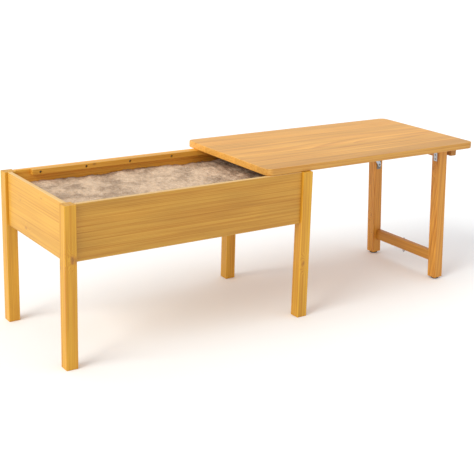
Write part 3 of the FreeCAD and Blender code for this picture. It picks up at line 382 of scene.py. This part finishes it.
def dress_leg_frame():
    """The folding frame: two legs, a top rail and a stretcher."""
    knots = {
        "table_leg_back": [knot("table_leg_back", (0.12, 0.45, 0.31), "X", 4 * MM, 0.5),
                           knot("table_leg_back", (0.3, 0.31, 0.165), "X", 2.5 * MM, 0.4)],
        "table_leg_front": [knot("table_leg_front", (0.05, 0.73, 0.845), "X", 4 * MM, 0.5)],
    }
    for seed, side in enumerate(("front", "back")):
        name = "table_leg_" + side
        dress(name, wood("pine_" + name, "Z", 81 + seed, RED_PINE, RED_PINE_DARK,
                         gain=TABLE_LEG_GAIN[side], knots=knots[name]))
    dress("top_rail", wood("pine_top_rail", "Y", 85, RED_PINE, RED_PINE_DARK, gain=0.95))
    dress("stretcher", wood("pine_stretcher", "Y", 86, RED_PINE, RED_PINE_DARK, gain=0.93))


def dress_dowels():
    """Plain beech dowels."""
    beech = wood("beech_dowel", "X", 91, BEECH, BEECH_DARK, gloss=0.55)
    for name in ("panel_dowels", "frame_dowels"):
        dress(name, beech)


# ---------------------------------------------------------------- steel and nylon
def zinc(name, base, rough):
    """Zinc-plated steel: pale crystals, fine rolling lines and a few dull spots."""
    graph = Graph(name)
    where = graph.place()
    crystals = graph.add("TexVoronoi", {"Vector": where, "Scale": 420.0}).outputs["Color"]
    tone = graph.split(crystals)[0]
    lines = graph.noise(graph.vector("MULTIPLY", where, (90.0, 90.0, 2600.0)), 1.0, 2.0, 0.5)
    dull = graph.noise(where, 130.0, 3.0, 0.6)
    bright = graph.maths("MULTIPLY_ADD", tone, 0.2, 0.88)
    gain = graph.maths("ADD", bright, graph.maths("MULTIPLY_ADD", dull, -0.4, 0.16))
    colour = graph.tint(linear(base), gain)
    rolled = graph.maths("MULTIPLY_ADD", lines, 0.08, rough - 0.12)
    roughness = graph.maths("MULTIPLY_ADD", dull, 0.2, rolled)
    graph.bump(lines, 0.2, 0.04 * MM)
    return graph.finish(colour, roughness, metallic=1.0)


def nylon():
    """Dark moulded nylon with a fine spark texture and dust on it."""
    graph = Graph("dark_nylon")
    where = graph.place()
    spark = graph.noise(where, 1500.0, 2.0, 0.6)
    dust = graph.ramp(graph.noise(where, 160.0, 3.0, 0.6), 0.5, 0.8, 0.0, 0.16)
    colour = graph.mix(dust, linear(NYLON), linear(SAND_DARK))
    graph.bump(spark, 0.25, 0.08 * MM)
    return graph.finish(colour, graph.maths("MULTIPLY_ADD", spark, 0.16, 0.42))


STEEL_NODES = (
    "hinge_lid_leaf_front", "hinge_lid_leaf_back", "hinge_leg_leaf_front", "hinge_leg_leaf_back",
    "hinge_pin_front", "hinge_pin_back", "turn_button", "stay_lower_link", "stay_upper_link",
    "stay_lid_foot",
)
DULL_NODES = ("stay_leg_plate", "stay_leg_rivet", "stay_lid_rivet", "stay_elbow_rivet")


def dress_hardware():
    """Steel plates, rivets and screws, and the two nylon feet."""
    plate = zinc("zinc_plate", STEEL, 0.34)
    for name in STEEL_NODES:
        dress(name, plate)
    dull = zinc("zinc_dull", DULL_STEEL, 0.5)
    for name in DULL_NODES:
        dress(name, dull)
    screw = zinc("zinc_screw", SCREW_STEEL, 0.42)
    for name in NODES:
        if "screw" in name:
            dress(name, screw)
    foot = nylon()
    for side in ("front", "back"):
        dress("glide_" + side, foot)


# ---------------------------------------------------------------- sand
SAND_STEP = 4 * MM          # spacing of the sand's surface points
WALL_GAP = 0.2 * MM         # sand or cloth to the walls and legs
SAND_MEAN = -6 * MM         # mean level, from the top of the CAD sand
SAND_DIP, SAND_RISE = -12.0, 8.5    # lowest and highest point about the mean, in millimetres
SAND_WAVES = (3.4, 5.4, 3.2, 1.4, 4.0)  # broad, hollows, lumps, crumbs and ridges, millimetres
RIDGE_LEVEL = 0.8
CRUMBS = 420
CRUMB_RADIUS = (0.7 * MM, 1.9 * MM)


def sand_height(x, y):
    """The dug-over surface: broad mounds, hand-sized hollows, lumps and small crumbs."""
    broad = noise.fractal(Vector((x * 4.2, y * 4.2, 3.1)), 1.0, 2.0, 2)
    hollows = noise.fractal(Vector((x * 17, y * 17, 7.7)), 1.0, 2.0, 3)
    lumps = noise.fractal(Vector((x * 48, y * 48, 1.3)), 0.9, 2.1, 3)
    crumbs = noise.noise(Vector((x * 160, y * 160, 5.9)))
    ridge = 1 - abs(noise.noise(Vector((x * 12, y * 18, 9.4))))
    waves = zip(SAND_WAVES, (broad, hollows, lumps, crumbs, ridge - RIDGE_LEVEL))
    height = sum(tall * wave for tall, wave in waves)
    return SAND_MEAN + max(SAND_DIP, min(SAND_RISE, height)) * MM


def steps_between(low, high, step):
    """Evenly spaced values from low up to high, without high itself."""
    count = max(1, round((high - low) / step))
    return [low + (high - low) * index / count for index in range(count)]


def bay_surface(low, high, step, height, extra=()):
    """An open mesh over the inside of the box, cut round the four legs, at height(x, y).

    extra are further grid lines across the X axis.
    """
    leg_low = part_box("box_leg_front_left")[1]
    leg_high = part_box("box_leg_back_right")[0]
    lines, notches = [], []
    for axis in (0, 1):
        notch = (leg_low[axis] + WALL_GAP, leg_high[axis] - WALL_GAP)
        ends = (low[axis] + WALL_GAP, *notch, high[axis] - WALL_GAP)
        spots = [spot for start, end in zip(ends, ends[1:])
                 for spot in steps_between(start, end, step)]
        lines.append(spots + [ends[-1]])
        notches.append(notch)
    xs, ys = sorted({*lines[0], *extra}), lines[1]
    mesh = bmesh.new()
    points = {}

    def point(i, j):
        if (i, j) not in points:
            points[i, j] = mesh.verts.new((xs[i], ys[j], height(xs[i], ys[j])))
        return points[i, j]

    for i in range(len(xs) - 1):
        clear_x = notches[0][0] < (xs[i] + xs[i + 1]) / 2 < notches[0][1]
        for j in range(len(ys) - 1):
            if clear_x or notches[1][0] < (ys[j] + ys[j + 1]) / 2 < notches[1][1]:
                corners = ((i, j), (i + 1, j), (i + 1, j + 1), (i, j + 1))
                face = mesh.faces.new([point(*corner) for corner in corners])
                face.smooth = True
    return mesh


def make_sand():
    """One closed body of sand with an uneven top."""
    low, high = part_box("sand")
    mesh = bay_surface(low, high, SAND_STEP, lambda x, y: high.z + sand_height(x, y))
    close_below(mesh, low.z)
    piece = to_object("sand_bed", mesh, sand_material())
    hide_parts("sand")
    return piece


def close_below(mesh, floor_z):
    """Drop walls from an open surface's border to floor_z and close the bottom."""
    border = [edge for edge in mesh.edges if edge.is_boundary]
    foot = {}
    for edge in border:
        for vert in edge.verts:
            if vert not in foot:
                foot[vert] = mesh.verts.new((vert.co.x, vert.co.y, floor_z))
    for edge in border:
        first, second = edge.verts
        mesh.faces.new((first, second, foot[second], foot[first]))
    lower_edges = [edge for edge in mesh.edges if edge.is_boundary]
    bmesh.ops.contextual_create(mesh, geom=lower_edges)
    bmesh.ops.recalc_face_normals(mesh, faces=mesh.faces)


def to_object(name, mesh, material):
    """Turn a bmesh into an object of the scene with one material."""
    data = bpy.data.meshes.new(name)
    mesh.to_mesh(data)
    mesh.free()
    data.materials.append(material)
    piece = bpy.data.objects.new(name, data)
    bpy.context.scene.collection.objects.link(piece)
    return piece


def make_crumbs(material):
    """Loose crumbs of sand scattered on the bed, half sunk into it."""
    draw = random.Random(5)
    low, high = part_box("sand")
    margin = 16 * MM
    mesh = bmesh.new()
    for _ in range(CRUMBS):
        x = draw.uniform(low.x + margin, high.x - margin)
        y = draw.uniform(low.y + margin, high.y - margin)
        radius = draw.uniform(*CRUMB_RADIUS)
        spot = Matrix.Translation((x, y, high.z + sand_height(x, y) + 0.2 * radius))
        spin = Matrix.Rotation(draw.uniform(0, math.tau), 4, "Z")
        flat = Matrix.Diagonal((1.0, draw.uniform(0.7, 1.0), draw.uniform(0.55, 0.85), 1.0))
        made = bmesh.ops.create_icosphere(mesh, subdivisions=1, radius=radius,
                                          matrix=spot @ spin @ flat)
        for vert in made["verts"]:
            vert.co += Vector(draw.uniform(-0.14, 0.14) * radius for _ in range(3))
    return to_object("sand_crumbs", mesh, material)


def sand_material():
    """Play sand: grey-brown patches of painted shade for shadowed hollows, and single grains of
    pale and dark mineral.
    """
    graph = Graph("play_sand")
    where = graph.place()
    patches = graph.noise(where, 11.0, 4.0, 0.62)
    lumps = graph.noise(where, 60.0, 3.0, 0.6)
    grains = graph.add("TexVoronoi", {"Vector": where, "Scale": 950.0})
    kind = graph.split(grains.outputs["Color"])
    # painted shade: dark grey-brown patches and mottling stand in for the shade in hollows and
    # under lumps
    shade_patches = graph.ramp(patches, 0.4, 0.64, 0.0, 0.7)
    painted_shade = graph.maths("ADD", shade_patches, graph.maths("MULTIPLY_ADD", lumps, 0.9, -0.34), clamp=True)
    colour = graph.mix(painted_shade, linear(SAND_LIGHT), linear(SAND_DARK))
    colour = graph.mix(graph.ramp(kind[0], 0.62, 0.9, 0.0, 0.6), colour, linear(SAND_GRAIN))
    colour = graph.mix(graph.ramp(kind[1], 0.86, 0.95, 0.0, 0.7), colour, linear(SAND_SPECK))
    rough = graph.noise(where, 420.0, 3.0, 0.7)
    relief = graph.maths("MULTIPLY_ADD", grains.outputs["Distance"], -0.6, rough)
    graph.bump(relief, 0.8, 0.7 * MM)
    return graph.finish(colour, graph.maths("MULTIPLY_ADD", kind[2], 0.15, 0.8), specular=0.25)


# ---------------------------------------------------------------- ground cloth
TAPE = 2.4 * MM             # width of one woven tape
CLOTH_THICK = 0.7 * MM
CLOTH_SAG = 0.8 * MM        # how far it bellies down between two floor boards
CLOTH_STEP = 12 * MM


def cloth_material():
    """Woven ground cloth: flat dark tapes over and under each other."""
    graph = Graph("ground_cloth_weave")
    where = graph.place()
    axes = graph.split(where)
    waves = [graph.maths("SINE", graph.maths("MULTIPLY", axes[index], math.pi / TAPE))
             for index in (0, 1)]
    over = graph.maths("MULTIPLY", *waves)
    fray = graph.noise(graph.vector("MULTIPLY", where, (900.0, 60.0, 60.0)), 1.0, 2.0, 0.5)
    worn = graph.maths("MULTIPLY_ADD", fray, 0.4, 0.15)
    share = graph.maths("MULTIPLY_ADD", over, 0.3, worn, clamp=True)
    graph.bump(over, 0.5, 0.3 * MM)
    return graph.finish(graph.mix(share, linear(CLOTH), linear(CLOTH_LIGHT)),
                        graph.maths("MULTIPLY_ADD", fray, 0.2, 0.62), specular=0.3)


def make_cloth():
    """The sheet between the floor boards and the sand. It bellies a little into each gap."""
    low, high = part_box("floor_cloth")
    boards = [name for name in sorted(NODES) if name.startswith("floor_board_")]
    edges = sorted(corner.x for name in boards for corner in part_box(name))
    gaps = list(zip(edges[1:-1:2], edges[2:-1:2]))
    middles = [(start + end) / 2 for start, end in gaps]

    def height(x, y):
        return low.z + 1.2 * CLOTH_THICK - (CLOTH_SAG if x in middles else 0.0)

    lines = [*middles, *(x for gap in gaps for x in gap)]
    mesh = bay_surface(low, high, CLOTH_STEP, height, lines)
    flat_area = sum(face.calc_area() for face in mesh.faces)
    bmesh.ops.solidify(mesh, geom=mesh.faces[:], thickness=CLOTH_THICK)
    bmesh.ops.recalc_face_normals(mesh, faces=mesh.faces)
    piece = to_object("ground_cloth", mesh, cloth_material())
    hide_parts("floor_cloth")
    return piece


# ---------------------------------------------------------------- stage, lights and camera
LENS = 80.1                 # millimetres, on a 36 mm sensor
SHIFT_Y = -0.078
CAMERA_AT = (-2.121, -3.031, 1.398)
CAMERA_YAW = 0.5971         # to the right of +Y, in radians
CAMERA_PITCH = 0.2711       # below the horizon
CAMERA_ROLL = 0.0294
SENSOR = 36.0
FLOOR_HALF = 40.0
SUN_POWER = 2.16
SUN_SPREAD = 0.7            # radians across, for soft shadows
SUN_COLOUR = (0.97, 1.0, 0.96)
SUN_WAY = (0.83, 0.12, -0.55)
AIR_STRENGTH = 0.86


def make_camera():
    """Looks down on the table from the front left."""
    ahead = Vector((math.sin(CAMERA_YAW) * math.cos(CAMERA_PITCH),
                    math.cos(CAMERA_YAW) * math.cos(CAMERA_PITCH), -math.sin(CAMERA_PITCH)))
    level = Vector((math.cos(CAMERA_YAW), -math.sin(CAMERA_YAW), 0.0))
    tilt = Matrix.Rotation(-CAMERA_ROLL, 3, ahead)
    right = tilt @ level
    up = right.cross(ahead)
    lens = bpy.data.cameras.new("camera")
    lens.lens = LENS
    lens.sensor_width = SENSOR
    lens.shift_y = SHIFT_Y
    camera = bpy.data.objects.new("camera", lens)
    turn = Matrix((right, up, -ahead)).transposed()
    camera.matrix_world = Matrix.Translation(CAMERA_AT) @ turn.to_4x4()
    bpy.context.scene.collection.objects.link(camera)
    bpy.context.scene.camera = camera


def make_floor():
    """A wide pale floor just under the feet."""
    mesh = bmesh.new()
    bmesh.ops.create_grid(mesh, x_segments=2, y_segments=2, size=FLOOR_HALF)
    graph = Graph("pale_floor")
    cloudy = graph.noise(graph.place(), 0.6, 2.0, 0.5)
    colour = graph.tint(linear(FLOOR), graph.maths("MULTIPLY_ADD", cloudy, 0.03, 0.985))
    floor = to_object("floor", mesh, graph.finish(colour, 0.9, specular=0.1))
    floor.location.z = cad_box[0].z - 0.2 * MM


def make_lights():
    """One broad soft key from the upper left and an even pale surround."""
    lamp = bpy.data.lights.new("key", "SUN")
    lamp.energy = SUN_POWER
    lamp.angle = SUN_SPREAD
    lamp.color = SUN_COLOUR
    key = bpy.data.objects.new("key", lamp)
    key.rotation_euler = Vector(SUN_WAY).to_track_quat("-Z", "Y").to_euler()
    bpy.context.scene.collection.objects.link(key)
    world = bpy.data.worlds.new("studio")
    world.use_nodes = True
    surround = world.node_tree.nodes["Background"]
    surround.inputs["Color"].default_value = linear(AIR)
    surround.inputs["Strength"].default_value = AIR_STRENGTH
    bpy.context.scene.world = world
    bpy.context.scene.view_settings.view_transform = "Standard"


# ---------------------------------------------------------------- the scene
dress_box()
dress_lid()
dress_leg_frame()
dress_dowels()
dress_hardware()
make_camera()

bed = make_sand()
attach(bed, "box")
crumbs = make_crumbs(bed.data.materials[0])
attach(crumbs, "box")
cloth = make_cloth()
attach(cloth, "box")

make_floor()
make_lights()
